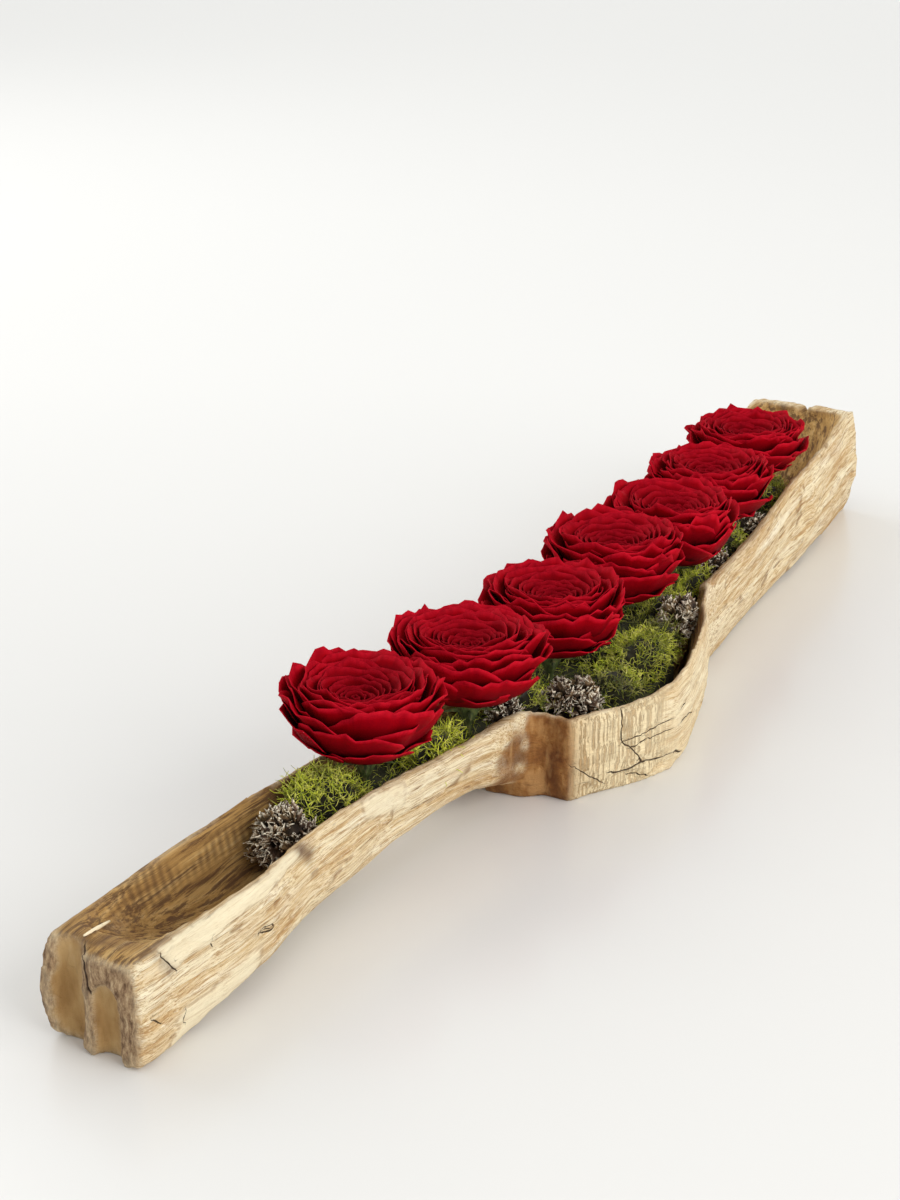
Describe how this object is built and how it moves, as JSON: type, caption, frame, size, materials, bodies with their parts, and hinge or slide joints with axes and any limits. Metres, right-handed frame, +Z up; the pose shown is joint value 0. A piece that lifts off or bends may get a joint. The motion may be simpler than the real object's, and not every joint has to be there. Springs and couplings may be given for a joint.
{
  "type": "floral table centerpiece",
  "caption": "Long hewn wooden trough with a bowl-like boss on one side, holding a row of preserved red roses in green moss and grey lichen.",
  "frame": {"origin": "on the table, under the middle of the whole object's bounding box", "axes": "+X along the trough towards its thick raised end, +Z up, the boss bulges towards -Y"},
  "size_m": [0.923, 0.1656, 0.1205],
  "materials": {
    "hewn_wood": "bare, hand-hewn and weathered, matte",
    "floral_foam": "dry crushable foam, matte",
    "rose_petals": "preserved petals, velvety",
    "rose_stem": "dried green stem and calyx, matte",
    "green_moss": "preserved moss fibres, matte",
    "grey_lichen": "dried ruffled lichen, matte"
  },
  "bodies": {
    "root": {"wood_trough": "hewn_wood", "foam_bar": "floral_foam", "foam_boss_block": "floral_foam", "rose_1_bloom": "rose_petals", "rose_1_stem": "rose_stem", "rose_2_bloom": "rose_petals", "rose_2_stem": "rose_stem", "rose_3_bloom": "rose_petals", "rose_3_stem": "rose_stem", "rose_4_bloom": "rose_petals", "rose_4_stem": "rose_stem", "rose_5_bloom": "rose_petals", "rose_5_stem": "rose_stem", "rose_6_bloom": "rose_petals", "rose_6_stem": "rose_stem", "rose_7_bloom": "rose_petals", "rose_7_stem": "rose_stem", "moss_back_1": "green_moss", "moss_back_2": "green_moss", "moss_back_3": "green_moss", "moss_back_4": "green_moss", "moss_back_5": "green_moss", "moss_back_6": "green_moss", "moss_beside_rose_1": "green_moss", "moss_beside_rose_3": "green_moss", "moss_beside_rose_4": "green_moss", "moss_beside_rose_7": "green_moss", "moss_boss": "green_moss", "moss_boss_near": "green_moss", "moss_boss_rim": "green_moss", "moss_far_end": "green_moss", "moss_front": "green_moss", "moss_rim_far": "green_moss", "moss_rim_middle": "green_moss", "moss_rim_near": "green_moss", "lichen_beside_rose_2": "grey_lichen", "lichen_boss_far": "grey_lichen", "lichen_boss_near": "grey_lichen", "lichen_front": "grey_lichen", "lichen_rim_far": "grey_lichen", "lichen_rim_middle": "grey_lichen"}
  },
  "joints": []
}
